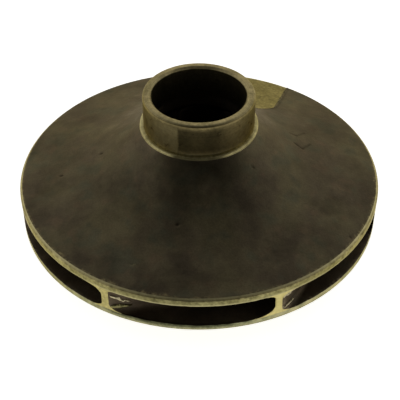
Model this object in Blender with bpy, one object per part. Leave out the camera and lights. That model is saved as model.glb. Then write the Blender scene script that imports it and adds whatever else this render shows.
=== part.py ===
"""Closed centrifugal pump impeller, cast in bronze, with its suction eye up.

The origin is the centre of the hub's back face. The shaft axis is +Z, towards the suction eye.
The casting is split where its shapes meet: two shrouds, a hub, a suction neck and seven vanes.
Lengths are in millimetres up to scaled(), which turns them into Blender's metres.
"""

import math

import bmesh
import bpy
from mathutils import Matrix, Vector

# Rim and water outlet, from the back plane of the back shroud up
RIM_RADIUS = 89.0
HUB_PROJECTION = 8.0
BACK_RIM_THICKNESS = 3.0
OUTLET_WIDTH = 12.0
FRONT_RIM_THICKNESS = 4.1
FRONT_RIM_CHAMFER = 1.1
BACK_RIM_CHAMFER = 0.4

# Front shroud and the shoulder under the suction neck
SHOULDER_RADIUS = 28.5
SHOULDER_HEIGHT = 56.8
SHOULDER_EDGE = 1.4
CONE_RISE = 15.0
FLARE_RISE = 13.3
FLARE_POWER = 4.0
WATER_CONE_RISE = 14.8
WATER_FLARE_RISE = 13.5
WATER_FLARE_POWER = 3.5

# Suction neck, which runs in the pump's wear ring
NECK_RADIUS = 26.7
EYE_RADIUS = 22.45
NECK_TOP = 73.4
NECK_CHAMFER = 1.5
EYE_CHAMFER = 1.0

# Hub, bored and keyed for a five-eighths inch shaft
SHAFT_BORE_RADIUS = 7.94
BORE_CHAMFER = 0.6
KEYWAY_WIDTH = 4.76
KEYWAY_REACH = 10.07
BOSS_RADIUS = 17.0
BOSS_CHAMFER = 1.0
BOSS_FILLET = 2.0
HUB_RADIUS = 19.0
HUB_SHOULDER = 23.4
HUB_NOSE_RADIUS = 12.6
HUB_NOSE_TOP = 34.0
HUB_NOSE_EDGE = 0.8
BACK_SHROUD_RISE = 12.3
BACK_SHROUD_POWER = 3.0

# Vanes, backward curved along a logarithmic spiral
VANE_COUNT = 7
FIRST_VANE_AZIMUTH = math.radians(240.5)
VANE_ANGLE = math.radians(30.0)
VANE_THICKNESS = 3.9
VANE_TIP_THICKNESS = 1.8
VANE_TIP_TAPER = 16.0
VANE_NOSE_LENGTH = 3.2
VANE_FILLET = 3.5
VANE_FILLET_MIDDLE = 1.1
VANE_FOOT_RADIUS = 20.6
VANE_HEAD_RADIUS = 27.5
VANE_STATIONS = 17

# Balance cut, ground into the front shroud along a straight strip that runs off the rim
CUT_AZIMUTH = math.radians(71.65)
CUT_HALF_WIDTH = 25.6
CUT_START = 38.0
CUT_CORNER = 6.4
CUT_CORNER_SLANT = 1.95
CUT_DEPTH = 0.5
CUT_CELLS_ALONG = 10
CUT_CELLS_ACROSS = 8

# Spacing and fineness of the solids
GAP = 0.3
RIM_SEGMENTS = 72
NECK_SEGMENTS = 60
HUB_SEGMENTS = 48
FLARE_POINTS = 12
FLARE_CROWDING = 1.2
VANE_CROWDING = 1.7
FILLET_STEPS = 3
NOSE_STEPS = 5

# Finishes, as linear colours
PATINA_COLOUR = (0.075, 0.064, 0.037)
PATINA_ROUGHNESS = 0.5
MACHINED_COLOUR = (0.27, 0.235, 0.095)
MACHINED_ROUGHNESS = 0.35
PASSAGE_COLOUR = (0.04, 0.031, 0.022)
PASSAGE_ROUGHNESS = 0.6

BACK_PLANE = HUB_PROJECTION
OUTLET_BOTTOM = BACK_PLANE + BACK_RIM_THICKNESS
OUTLET_TOP = OUTLET_BOTTOM + OUTLET_WIDTH
FRONT_RIM_TOP = OUTLET_TOP + FRONT_RIM_THICKNESS
CONE_RADIUS = RIM_RADIUS - FRONT_RIM_CHAMFER
BACK_SHROUD_BORE = HUB_RADIUS + GAP

MILLIMETRE = 0.001
OUTSIDE = 6.0


def clear_scene():
    """Remove every object, so that the script starts from an empty scene."""
    for item in list(bpy.data.objects):
        bpy.data.objects.remove(item, do_unlink=True)


def make_material(name, colour, roughness):
    """Return a bronze finish as a Principled material."""
    material = bpy.data.materials.new(name)
    material.use_nodes = True
    shader = material.node_tree.nodes["Principled BSDF"]
    shader.inputs["Base Color"].default_value = (*colour, 1.0)
    shader.inputs["Roughness"].default_value = roughness
    shader.inputs["Metallic"].default_value = 1.0
    return material


def cone_height(radius):
    """Height of the front shroud's outer face: a shallow cone that flares up into the shoulder."""
    inward = (CONE_RADIUS - radius) / (CONE_RADIUS - SHOULDER_RADIUS)
    return FRONT_RIM_TOP + CONE_RISE * inward + FLARE_RISE * max(inward, 0.0) ** FLARE_POWER


def passage_roof(radius):
    """Height of the front shroud's wet face."""
    inward = (RIM_RADIUS - radius) / (RIM_RADIUS - EYE_RADIUS)
    return OUTLET_TOP + WATER_CONE_RISE * inward + WATER_FLARE_RISE * inward ** WATER_FLARE_POWER


def passage_floor(radius):
    """Height of the back shroud's wet face, which sweeps up to the hub."""
    inward = (RIM_RADIUS - radius) / (RIM_RADIUS - BACK_SHROUD_BORE)
    return OUTLET_BOTTOM + BACK_SHROUD_RISE * inward ** BACK_SHROUD_POWER


def spaced(start, end, count, crowding=1.0):
    """Count values from start to end, closer together near the end where crowding is over 1."""
    return [end + (start - end) * (1.0 - step / (count - 1)) ** crowding for step in range(count)]


def wet_profile(height_at, inner_radius):
    """Corners of a shroud's wet face, from the rim inwards."""
    radii = spaced(RIM_RADIUS, inner_radius, FLARE_POINTS, FLARE_CROWDING)
    return [(radius, height_at(radius)) for radius in radii]


def height_on(profile, radius):
    """Height of a wet face's facets at a radius, so that a vane follows them."""
    for (outer, outer_height), (inner, inner_height) in zip(profile, profile[1:]):
        if radius >= inner:
            return outer_height + (inner_height - outer_height) * (outer - radius) / (outer - inner)
    return profile[-1][1]


def arc(centre_radius, centre_height, radius, first, last, steps):
    """Points of a profile's arc, from one angle to another in degrees."""
    points = []
    for step in range(steps + 1):
        angle = math.radians(first + (last - first) * step / steps)
        points.append((centre_radius + radius * math.cos(angle),
                       centre_height + radius * math.sin(angle)))
    return points


def scaled(point):
    """Return a point given in millimetres in Blender's metres."""
    return tuple(value * MILLIMETRE for value in point)


def link_mesh(name, bm):
    """Write a bmesh into a new object, with its faces pointing out."""
    bmesh.ops.recalc_face_normals(bm, faces=bm.faces)
    mesh = bpy.data.meshes.new(name)
    bm.to_mesh(mesh)
    bm.free()
    item = bpy.data.objects.new(name, mesh)
    bpy.context.scene.collection.objects.link(item)
    return item


def dress(item, material):
    """Give an object its finish, smooth over its round faces and crisp at its edges."""
    item.data.materials.append(material)
    item.data.shade_smooth()
    item.data.set_sharp_from_angle(angle=math.radians(30.0))
    return item


def turn(name, profile, segments):
    """Spin a closed profile of radii and heights about the shaft axis."""
    bm = bmesh.new()
    corners = [bm.verts.new(scaled((radius, 0.0, height))) for radius, height in profile]
    edges = [bm.edges.new((corner, corners[index - 1])) for index, corner in enumerate(corners)]
    bmesh.ops.spin(bm, geom=corners + edges, cent=(0.0, 0.0, 0.0), axis=(0.0, 0.0, 1.0),
                   angle=2.0 * math.pi, steps=segments, use_merge=True)
    bmesh.ops.remove_doubles(bm, verts=bm.verts, dist=MILLIMETRE * 0.001)
    return link_mesh(name, bm)


def cut_away(item, cutter):
    """Take the cutter's shape out of an object."""
    cutter.hide_render = True
    cutter.display_type = "WIRE"
    modifier = item.modifiers.new(cutter.name, "BOOLEAN")
    modifier.operation = "DIFFERENCE"
    modifier.solver = "EXACT"
    modifier.object = cutter


def grid_faces(bm, rows, closed):
    """Join rows of vertices into a skin of quads, and close each row into a ring if asked."""
    for lower, upper in zip(rows, rows[1:]):
        last = len(lower) if closed else len(lower) - 1
        for index in range(last):
            following = (index + 1) % len(lower)
            corners = (lower[index], lower[following], upper[following], upper[index])
            bm.faces.new(list(dict.fromkeys(corners)))


def border(rows):
    """The vertices round the edge of a grid, in order."""
    ring = list(rows[0])
    ring += [row[-1] for row in rows[1:]]
    ring += list(reversed(rows[-1]))[1:]
    ring += [row[0] for row in reversed(rows[1:-1])]
    return ring


def balance_cutter():
    """Solid of the balance cut: a strip that follows the cone a little below its face."""
    bm = bmesh.new()
    acrosses = spaced(-CUT_HALF_WIDTH, CUT_HALF_WIDTH, CUT_CELLS_ACROSS + 1)
    turned = Matrix.Rotation(CUT_AZIMUTH, 3, "Z")

    def sheet(lift):
        rows = []
        for across in acrosses:
            slanted = max(abs(across) - (CUT_HALF_WIDTH - CUT_CORNER), 0.0)
            start = CUT_START + CUT_CORNER_SLANT * slanted
            alongs = spaced(start, RIM_RADIUS + OUTSIDE, CUT_CELLS_ALONG + 1)
            points = [(along, across, cone_height(math.hypot(along, across)) + lift) for along in alongs]
            rows.append([bm.verts.new(turned @ Vector(scaled(point))) for point in points])
        grid_faces(bm, rows, closed=False)
        return rows

    low = sheet(-CUT_DEPTH)
    high = sheet(OUTSIDE)
    grid_faces(bm, [border(low), border(high)], closed=True)
    return link_mesh("balance_cutter", bm)


def keyway_cutter():
    """Block that cuts the keyway through the hub, on its +Y side."""
    bm = bmesh.new()
    size = (KEYWAY_WIDTH, KEYWAY_REACH, HUB_NOSE_TOP + 2.0 * OUTSIDE)
    middle = (0.0, KEYWAY_REACH / 2.0, HUB_NOSE_TOP / 2.0)
    bmesh.ops.create_cube(bm, size=1.0)
    bmesh.ops.scale(bm, vec=scaled(size), verts=bm.verts)
    bmesh.ops.translate(bm, vec=scaled(middle), verts=bm.verts)
    return link_mesh("keyway_cutter", bm)


def front_shroud_profile():
    """Outline of the cone, its rim and the shoulder that carries the neck."""
    rim = [(RIM_RADIUS, FRONT_RIM_TOP - FRONT_RIM_CHAMFER), (RIM_RADIUS, OUTLET_TOP)]
    wet = wet_profile(passage_roof, EYE_RADIUS)[1:]
    shoulder = [(EYE_RADIUS, SHOULDER_HEIGHT), (SHOULDER_RADIUS, SHOULDER_HEIGHT),
                (SHOULDER_RADIUS, SHOULDER_HEIGHT - SHOULDER_EDGE)]
    radii = spaced(CONE_RADIUS, SHOULDER_RADIUS, FLARE_POINTS, FLARE_CROWDING)[:-1]
    cone = [(radius, cone_height(radius)) for radius in reversed(radii)]
    return rim + wet + shoulder + cone


def neck_profile():
    """Outline of the suction neck, from its foot on the shoulder to the eye's top edge."""
    foot = SHOULDER_HEIGHT + GAP
    return [(EYE_RADIUS, foot), (NECK_RADIUS, foot), (NECK_RADIUS, NECK_TOP - NECK_CHAMFER),
            (NECK_RADIUS - NECK_CHAMFER, NECK_TOP), (EYE_RADIUS + EYE_CHAMFER, NECK_TOP),
            (EYE_RADIUS, NECK_TOP - EYE_CHAMFER)]


def back_shroud_profile():
    """Outline of the back shroud, which is flat behind and sweeps up to the hub in front."""
    wet = wet_profile(passage_floor, BACK_SHROUD_BORE)
    back = [(BACK_SHROUD_BORE, BACK_PLANE), (RIM_RADIUS - BACK_RIM_CHAMFER, BACK_PLANE),
            (RIM_RADIUS, BACK_PLANE + BACK_RIM_CHAMFER)]
    return wet + back


def hub_profile():
    """Outline of the hub: the boss behind, the body in the shroud and the nose in the eye."""
    boss = [(SHAFT_BORE_RADIUS, BORE_CHAMFER), (SHAFT_BORE_RADIUS + BORE_CHAMFER, 0.0),
            (BOSS_RADIUS - BOSS_CHAMFER, 0.0), (BOSS_RADIUS, BOSS_CHAMFER)]
    fillet = arc(HUB_RADIUS, BACK_PLANE - BOSS_FILLET, BOSS_FILLET, 180.0, 90.0, FILLET_STEPS)
    rise = HUB_NOSE_TOP - HUB_NOSE_EDGE - HUB_SHOULDER
    nose = []
    for step in range(NOSE_STEPS + 1):
        share = step / NOSE_STEPS
        radius = HUB_NOSE_RADIUS + (HUB_RADIUS - HUB_NOSE_RADIUS) * (1.0 - share) ** 2
        nose.append((radius, HUB_SHOULDER + rise * share))
    top = [(HUB_NOSE_RADIUS - HUB_NOSE_EDGE, HUB_NOSE_TOP),
           (SHAFT_BORE_RADIUS + BORE_CHAMFER, HUB_NOSE_TOP),
           (SHAFT_BORE_RADIUS, HUB_NOSE_TOP - BORE_CHAMFER)]
    return boss + fillet + nose + top


def vane_thickness(radius, nose_radius):
    """Thickness of a vane: thin at the rim, full in the passage, round at its leading edge."""
    taper = min((RIM_RADIUS - radius) / VANE_TIP_TAPER, 1.0)
    body = VANE_TIP_THICKNESS + (VANE_THICKNESS - VANE_TIP_THICKNESS) * math.sin(taper * math.pi / 2.0)
    to_nose = min((radius - nose_radius) / VANE_NOSE_LENGTH, 1.0)
    return body * math.sqrt(1.0 - (1.0 - to_nose) ** 2)


def fillet_spread(distance):
    """How far a vane's side stands out at a distance from the shroud that it grows from."""
    short = max(VANE_FILLET - distance, 0.0)
    return VANE_FILLET - math.sqrt(VANE_FILLET ** 2 - short ** 2)


def vane_azimuth(radius):
    """Turn of a vane's middle line from its tip, which grows inwards along the spiral."""
    return math.log(RIM_RADIUS / radius) / math.tan(VANE_ANGLE)


def vane_level(share, distance):
    """Both sides and the middle line of a vane at one level, each from the tip inwards.

    The level is a share of the passage's height, for the slant of the leading edge, and a distance
    from the floor where that is positive or from the roof where it is negative.
    """
    if distance > 0.0:
        face = wet_profile(passage_floor, BACK_SHROUD_BORE)
    else:
        face = wet_profile(passage_roof, EYE_RADIUS)
    nose_radius = VANE_FOOT_RADIUS + (VANE_HEAD_RADIUS - VANE_FOOT_RADIUS) * share
    spread = fillet_spread(abs(distance))
    lines = ([], [], [])
    for radius in spaced(RIM_RADIUS, nose_radius, VANE_STATIONS, VANE_CROWDING):
        half = vane_thickness(radius, nose_radius) / 2.0
        fade = min((radius - nose_radius) / (2.0 * VANE_FILLET), 1.0)
        turn_off = (half + spread * math.sqrt(fade)) / (radius * math.sin(VANE_ANGLE))
        height = height_on(face, radius) + distance
        for line, offset in zip(lines, (turn_off, 0.0, -turn_off)):
            azimuth = vane_azimuth(radius) + offset
            line.append(scaled((radius * math.cos(azimuth), radius * math.sin(azimuth), height)))
    return lines


def vane_mesh():
    """Mesh of one vane, with its tip on the +X side and fillets towards both shrouds."""
    bm = bmesh.new()
    from_floor = [GAP, VANE_FILLET_MIDDLE, VANE_FILLET]
    distances = from_floor + [-distance for distance in reversed(from_floor)]
    rings = []
    for index, distance in enumerate(distances):
        left, middle, right = vane_level(index / (len(distances) - 1), distance)
        left = [bm.verts.new(point) for point in left]
        right = [bm.verts.new(point) for point in right[:-1]] + [left[-1]]
        if index in (0, len(distances) - 1):
            middle = [bm.verts.new(point) for point in middle[:-1]] + [left[-1]]
            grid_faces(bm, [left, middle, right], closed=False)
            tip = [middle[0]]
        else:
            tip = []
        rings.append((left, right, tip))
    for (left, right, tip), (next_left, next_right, next_tip) in zip(rings, rings[1:]):
        grid_faces(bm, [left, next_left], closed=False)
        grid_faces(bm, [right, next_right], closed=False)
        bm.faces.new([left[0]] + tip + [right[0], next_right[0]] + next_tip + [next_left[0]])
    return bm


def build_vanes(material):
    """Make the vanes, each its own object that shares the first one's mesh."""
    first = dress(link_mesh("vane_1", vane_mesh()), material)
    for number in range(VANE_COUNT):
        vane = first
        if number:
            vane = bpy.data.objects.new(f"vane_{number + 1}", first.data)
            bpy.context.scene.collection.objects.link(vane)
        vane.rotation_euler.z = FIRST_VANE_AZIMUTH + 2.0 * math.pi * number / VANE_COUNT


def main():
    """Build the impeller."""
    clear_scene()
    patina = make_material("cast_bronze_patina", PATINA_COLOUR, PATINA_ROUGHNESS)
    machined = make_material("machined_bronze", MACHINED_COLOUR, MACHINED_ROUGHNESS)
    passage = make_material("passage_bronze", PASSAGE_COLOUR, PASSAGE_ROUGHNESS)

    front = dress(turn("front_shroud", front_shroud_profile(), RIM_SEGMENTS), patina)
    cut_away(front, balance_cutter())
    dress(turn("suction_neck", neck_profile(), NECK_SEGMENTS), machined)
    dress(turn("back_shroud", back_shroud_profile(), RIM_SEGMENTS), machined)
    hub = dress(turn("hub", hub_profile(), HUB_SEGMENTS), machined)
    cut_away(hub, keyway_cutter())
    build_vanes(passage)


main()
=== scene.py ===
"""Looks of a closed pump impeller, cast in bronze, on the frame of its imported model.

The casting keeps its dark skin on the front shroud and in the water passages. The neck, the shoulder,
the rim, the vane tips and the hub are turned to bright bronze, and a balance cut is ground into the
front shroud. Lengths are in millimetres up to metres(), and the shaft axis is +Z.
"""

import logging
import math
from dataclasses import dataclass, field
from enum import Enum

import bmesh
import bpy
import numpy as np
from mathutils import Matrix, Vector, noise


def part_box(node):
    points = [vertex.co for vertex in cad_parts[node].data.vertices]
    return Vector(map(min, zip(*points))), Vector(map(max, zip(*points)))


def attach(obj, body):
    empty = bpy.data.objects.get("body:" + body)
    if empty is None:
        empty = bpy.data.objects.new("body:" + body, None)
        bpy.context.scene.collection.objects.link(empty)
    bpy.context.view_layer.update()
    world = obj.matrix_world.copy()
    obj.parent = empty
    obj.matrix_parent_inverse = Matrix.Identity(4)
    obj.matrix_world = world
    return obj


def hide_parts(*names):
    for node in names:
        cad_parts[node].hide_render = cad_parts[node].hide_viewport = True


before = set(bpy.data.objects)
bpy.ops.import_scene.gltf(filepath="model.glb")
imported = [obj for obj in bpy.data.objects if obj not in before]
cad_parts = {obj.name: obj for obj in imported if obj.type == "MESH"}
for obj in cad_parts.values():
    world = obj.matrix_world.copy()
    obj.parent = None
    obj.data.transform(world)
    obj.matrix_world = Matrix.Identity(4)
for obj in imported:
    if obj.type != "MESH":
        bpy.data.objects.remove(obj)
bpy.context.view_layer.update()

MM = 0.001
BODY = "root"
CREASE = math.radians(38.0)
WELD = 0.002

log = logging.getLogger("impeller")

Socket = bpy.types.NodeSocket
Colour = tuple[float, float, float]


class Zone(Enum):
    """Kinds of surface on the casting, each with its own finish."""

    CAST = "cast skin"
    RIM = "turned rim"
    CHAMFER = "turned edge"
    LIP = "turned shoulder"
    WALL = "tarnished neck wall"
    TOP = "neck face"
    # The eye's bore has a dark finish: tarnish, and painted shade for the recess.
    BORE = "tarnished eye"
    BACK_RIM = "stained rim of the back shroud"
    TIP = "worn vane tip"
    # Bright finish that paints a highlight on the raised ridges by the vane tips.
    FLASH = "bare casting flash"
    WET = "water passage"
    GROUND = "ground cut"


def metres(value: float) -> float:
    """Return a length in millimetres as Blender's metres."""
    return value * MM


def smooth_step(low: float, high: float, value: np.ndarray) -> np.ndarray:
    """Return a soft step from 0 at low to 1 at high.

    Args:
        low: Value where the step starts.
        high: Value where the step ends.
        value: Values to map.

    Returns:
        The mapped values, from 0 to 1.
    """
    share = np.clip((np.asarray(value, float) - low) / (high - low), 0.0, 1.0)
    return share * share * (3.0 - 2.0 * share)


def ripple(points: np.ndarray, grain: float, seed: float) -> np.ndarray:
    """Return smooth noise at points.

    Args:
        points: Points in millimetres, in the last axis.
        grain: Size of the noise's features in millimetres.
        seed: Offset that picks another part of the noise.

    Returns:
        One value per point, from about -1 to 1.
    """
    shift = Vector((seed, 2.0 * seed, -seed))
    flat = points.reshape(-1, 3) / grain
    return np.array([noise.noise(Vector(point) + shift) for point in flat]).reshape(points.shape[:-1])


@dataclass(frozen=True)
class Sector:
    """A sector about the shaft axis that fades in and out, in degrees of azimuth."""

    start: float
    rise: float
    end: float
    fall: float
    share: float = 1.0

    def at(self, points: np.ndarray, frayed: float = 0.0) -> np.ndarray:
        """Return how strongly the sector holds at each point.

        Args:
            points: Points in millimetres.
            frayed: Unevenness of its borders in degrees.

        Returns:
            Values from 0 to the sector's share.
        """
        turn = np.degrees(np.arctan2(points[..., 1], points[..., 0])) % 360.0
        if frayed:
            turn = turn + frayed * ripple(points, 3.0, self.start)
        inside = smooth_step(self.start, self.start + self.rise, turn)
        return self.share * inside * (1.0 - smooth_step(self.end - self.fall, self.end, turn))


@dataclass(frozen=True)
class Casting:
    """Sizes that the pieces share, read from the frame, and the casting's main curves."""

    rim_radius: float
    back_plane: float
    outlet_bottom: float
    outlet_top: float
    shoulder_height: float
    neck_top: float
    neck_radius: float
    nose_top: float
    rim_thickness: float = 4.1
    rim_chamfer: float = 1.1
    shoulder_radius: float = 28.5
    eye_radius: float = 22.45
    hub_radius: float = 19.0
    hub_gap: float = 0.3
    shoulder_edge: float = 1.4
    cone_rise: float = 15.0
    flare_power: float = 4.0
    roof_rise: float = 14.8
    roof_flare: float = 13.5
    roof_power: float = 3.5
    floor_rise: float = 12.3
    floor_power: float = 3.0
    back_thickness: float = 3.0

    @classmethod
    def from_frame(cls) -> "Casting":
        """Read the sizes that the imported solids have.

        Returns:
            The casting's sizes.
        """
        front_low, front_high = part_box("front_shroud")
        back_low, back_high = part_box("back_shroud")
        neck_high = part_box("suction_neck")[1]
        hub_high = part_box("hub")[1]
        back_plane = back_low.z / MM
        return cls(rim_radius=back_high.x / MM, back_plane=back_plane,
                   outlet_bottom=back_plane + cls.back_thickness, outlet_top=front_low.z / MM,
                   shoulder_height=front_high.z / MM, neck_top=neck_high.z / MM,
                   neck_radius=neck_high.x / MM, nose_top=hub_high.z / MM)

    @property
    def cone_radius(self) -> float:
        """Radius where the cone meets the rim's chamfer."""
        return self.rim_radius - self.rim_chamfer

    @property
    def rim_top(self) -> float:
        """Height of the front shroud at the rim."""
        return self.outlet_top + self.rim_thickness

    @property
    def flare_rise(self) -> float:
        """Rise of the flare above the straight cone, up to the shoulder's lower edge."""
        return self.shoulder_height - self.shoulder_edge - self.rim_top - self.cone_rise

    def cone(self, radius: np.ndarray) -> np.ndarray:
        """Return the height of the front shroud's outer face at a radius."""
        inward = (self.cone_radius - radius) / (self.cone_radius - self.shoulder_radius)
        flare = self.flare_rise * np.maximum(inward, 0.0) ** self.flare_power
        return self.rim_top + self.cone_rise * inward + flare

    def roof(self, radius: np.ndarray) -> np.ndarray:
        """Return the height of the front shroud's wet face at a radius."""
        inward = (self.rim_radius - radius) / (self.rim_radius - self.eye_radius)
        flare = self.roof_flare * np.maximum(inward, 0.0) ** self.roof_power
        return self.outlet_top + self.roof_rise * inward + flare

    def floor(self, radius: np.ndarray) -> np.ndarray:
        """Return the height of the back shroud's wet face at a radius."""
        inward = (self.rim_radius - radius) / (self.rim_radius - self.hub_radius - self.hub_gap)
        return self.outlet_bottom + self.floor_rise * np.maximum(inward, 0.0) ** self.floor_power


class Graph:
    """A material's node tree, with short ways to add and join nodes."""

    def __init__(self, name: str, edge_tint: Colour = (1.0, 1.0, 1.0)) -> None:
        """Make an empty material with a Principled shader.

        Args:
            name: The material's name.
            edge_tint: Colour of the reflection at a grazing angle.
        """
        self.edge_tint = edge_tint
        self.material = bpy.data.materials.new(name)
        self.material.use_nodes = True
        self.tree = self.material.node_tree
        self.shader = self.tree.nodes["Principled BSDF"]
        self.place = self.add("ShaderNodeTexCoord").outputs["Object"]

    def add(self, kind: str, **inputs: object) -> bpy.types.Node:
        """Add a node.

        Args:
            kind: The node's type.
            **inputs: Its inputs by name, with spaces as underscores: a socket to link or a value.

        Returns:
            The new node.
        """
        node = self.tree.nodes.new(kind)
        for key, value in inputs.items():
            self.feed(node, key.replace("_", " "), value)
        return node

    def feed(self, node: bpy.types.Node, key: str | int, value: object) -> None:
        """Link a socket to an input, or set the input's value.

        Args:
            node: The node.
            key: The input's name or number.
            value: A socket to link, or a value.
        """
        if isinstance(value, bpy.types.NodeSocket):
            self.tree.links.new(value, node.inputs[key])
        else:
            node.inputs[key].default_value = value

    def clouds(self, size: float, detail: float = 3.0, rough: float = 0.55) -> Socket:
        """Return cloudy noise.

        Args:
            size: Size of its clouds in millimetres.
            detail: Octaves.
            rough: Weight of the finer octaves.

        Returns:
            The socket of its value, from 0 to 1.
        """
        node = self.add("ShaderNodeTexNoise", Vector=self.place, Scale=1.0 / metres(size), Detail=detail,
                        Roughness=rough)
        return node.outputs[0]

    def rings(self, pitch: float, detail: float = 2.0) -> Socket:
        """Return noise that changes only with radius and height, as a lathe's tool leaves it.

        Args:
            pitch: Step from mark to mark in millimetres.
            detail: Octaves.

        Returns:
            The socket of its value, from 0 to 1.
        """
        parts = self.add("ShaderNodeSeparateXYZ", Vector=self.place)
        flat = self.add("ShaderNodeCombineXYZ", X=parts.outputs["X"], Y=parts.outputs["Y"])
        length = self.add("ShaderNodeVectorMath")
        length.operation = "LENGTH"
        self.feed(length, 0, flat.outputs[0])
        along = self.math("ADD", length.outputs["Value"], parts.outputs["Z"])
        node = self.add("ShaderNodeTexNoise")
        node.noise_dimensions = "1D"
        self.feed(node, "W", along)
        self.feed(node, "Scale", 1.0 / metres(pitch))
        self.feed(node, "Detail", detail)
        return node.outputs[0]

    def math(self, operation: str, first: object, second: object = 0.0) -> Socket:
        """Return the result of a math node, held between 0 and 1 where it multiplies.

        Args:
            operation: The node's operation.
            first: Number or socket.
            second: Number or socket.

        Returns:
            The socket of the result.
        """
        node = self.add("ShaderNodeMath")
        node.operation = operation
        node.use_clamp = operation == "MULTIPLY"
        self.feed(node, 0, first)
        self.feed(node, 1, second)
        return node.outputs[0]

    def span(self, value: object, low: float, high: float, to_low: float = 0.0,
             to_high: float = 1.0) -> Socket:
        """Return a value mapped from one range to another, and held at its ends.

        Args:
            value: Number or socket.
            low: Start of the first range.
            high: End of the first range.
            to_low: Start of the second range.
            to_high: End of the second range.

        Returns:
            The socket of the mapped value.
        """
        node = self.add("ShaderNodeMapRange", Value=value, From_Min=low, From_Max=high, To_Min=to_low,
                        To_Max=to_high)
        return node.outputs["Result"]

    def blend(self, share: object, first: object, second: object) -> Socket:
        """Return a mix of two colours.

        Args:
            share: Weight of the second colour, a number or a socket.
            first: Colour or socket.
            second: Colour or socket.

        Returns:
            The socket of the mixed colour.
        """
        node = self.add("ShaderNodeMix")
        node.data_type = "RGBA"
        self.feed(node, 0, share)
        for key, value in ((6, first), (7, second)):
            self.feed(node, key, value if isinstance(value, bpy.types.NodeSocket) else (*value, 1.0))
        return node.outputs[2]

    def scale(self, colour: Socket, factor: object) -> Socket:
        """Return a colour times a number.

        Args:
            colour: The colour.
            factor: Number or socket.

        Returns:
            The socket of the scaled colour.
        """
        node = self.add("ShaderNodeVectorMath")
        node.operation = "SCALE"
        self.feed(node, 0, colour)
        self.feed(node, "Scale", factor)
        return node.outputs[0]

    def mask(self, name: str) -> Socket:
        """Return a mask that a piece's mesh carries at its points.

        Args:
            name: The mask's name.

        Returns:
            The socket of its value, from 0 to 1.
        """
        node = self.add("ShaderNodeAttribute")
        node.attribute_name = name
        return node.outputs["Fac"]

    def bump(self, height: Socket, depth: float, before: Socket | None = None) -> Socket:
        """Return a normal roughened by a height.

        Args:
            height: Socket of the height, from 0 to 1.
            depth: Depth of the relief in millimetres.
            before: Normal to build on, if there is one.

        Returns:
            The socket of the normal.
        """
        node = self.add("ShaderNodeBump", Height=height, Distance=metres(depth), Strength=1.0)
        if before is not None:
            self.feed(node, "Normal", before)
        return node.outputs["Normal"]

    def finish(self, colour: Socket, roughness: Socket, metallic: float,
               normal: Socket) -> bpy.types.Material:
        """Wire the shader.

        Args:
            colour: Base colour.
            roughness: Roughness.
            metallic: Metallic value, the same all over.
            normal: Normal with its relief.

        Returns:
            The finished material.
        """
        self.feed(self.shader, "Base Color", colour)
        self.feed(self.shader, "Roughness", roughness)
        self.feed(self.shader, "Normal", normal)
        self.shader.inputs["Metallic"].default_value = metallic
        self.shader.inputs["Specular Tint"].default_value = (*self.edge_tint, 1.0)
        return self.material


@dataclass(frozen=True)
class CastSkin:
    """Dark olive-brown skin of an old bronze casting, worn to metal where the wear_and_sheen mask says so,
    and darker where the grime_and_shade mask holds dirt and painted shade.

    A size is that of the clouds, spots or grains in millimetres, and a share is how far they cover.
    """

    name: str
    dark: Colour
    middle: Colour
    light: Colour
    bare: Colour
    roughness: tuple[float, float] = (0.40, 0.58)
    cool: Colour = (0.050, 0.056, 0.040)
    warm: Colour = (0.122, 0.082, 0.050)
    edge_tint: Colour = (0.72, 0.645, 0.50)
    metallic: float = 0.9
    tone_size: float = 24.0
    shade_size: float = 15.0
    patch_size: float = 9.0
    patch_share: float = 0.6
    cool_size: float = 12.0
    cool_share: float = 0.45
    warm_size: float = 7.0
    warm_share: float = 0.28
    spot_size: float = 2.6
    spot_share: float = 0.35
    worn_size: float = 1.6
    swell_size: float = 5.0
    swell_depth: float = 0.10
    sand_size: float = 0.9
    sand_depth: float = 0.05
    grime_and_shade_share: float = 0.2

    def make(self) -> bpy.types.Material:
        """Build the finish.

        Returns:
            The material.
        """
        graph = Graph(self.name, self.edge_tint)
        patches = graph.clouds(self.patch_size, 4.0, 0.6)
        sand = graph.clouds(self.sand_size, 3.0, 0.6)
        tone = graph.blend(graph.span(graph.clouds(self.tone_size), 0.40, 0.60), self.dark, self.middle)
        tone = graph.blend(graph.span(patches, 0.48, 0.70, 0.0, self.patch_share), tone, self.light)
        cool = graph.span(graph.clouds(self.cool_size, 2.0), 0.53, 0.66, 0.0, self.cool_share)
        tone = graph.blend(cool, tone, self.cool)
        warm = graph.span(graph.clouds(self.warm_size, 2.0), 0.56, 0.70, 0.0, self.warm_share)
        tone = graph.blend(warm, tone, self.warm)
        shade = graph.span(graph.clouds(self.shade_size, 4.0, 0.6), 0.36, 0.64, 0.82, 1.16)
        tone = graph.scale(tone, shade)
        spots = graph.span(graph.clouds(self.spot_size, 2.0), 0.60, 0.76, 0.0, self.spot_share)
        tone = graph.blend(spots, tone, self.dark)
        tone = graph.scale(tone, graph.span(sand, 0.38, 0.62, 0.92, 1.07))
        # Darker where the grime_and_shade mask holds dirt and painted shade.
        tone = graph.blend(graph.mask("grime_and_shade"), tone, tuple(self.grime_and_shade_share * value for value in self.dark))
        # Bare metal and painted highlights where the wear_and_sheen mask holds.
        worn_and_sheen = graph.span(graph.clouds(self.worn_size), 0.40, 0.60)
        tone = graph.blend(graph.math("MULTIPLY", graph.mask("wear_and_sheen"), worn_and_sheen), tone, self.bare)
        relief = graph.bump(graph.clouds(self.swell_size, 3.0, 0.6), self.swell_depth)
        relief = graph.bump(sand, self.sand_depth, relief)
        return graph.finish(tone, graph.span(patches, 0.3, 0.7, *self.roughness), self.metallic, relief)


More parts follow.
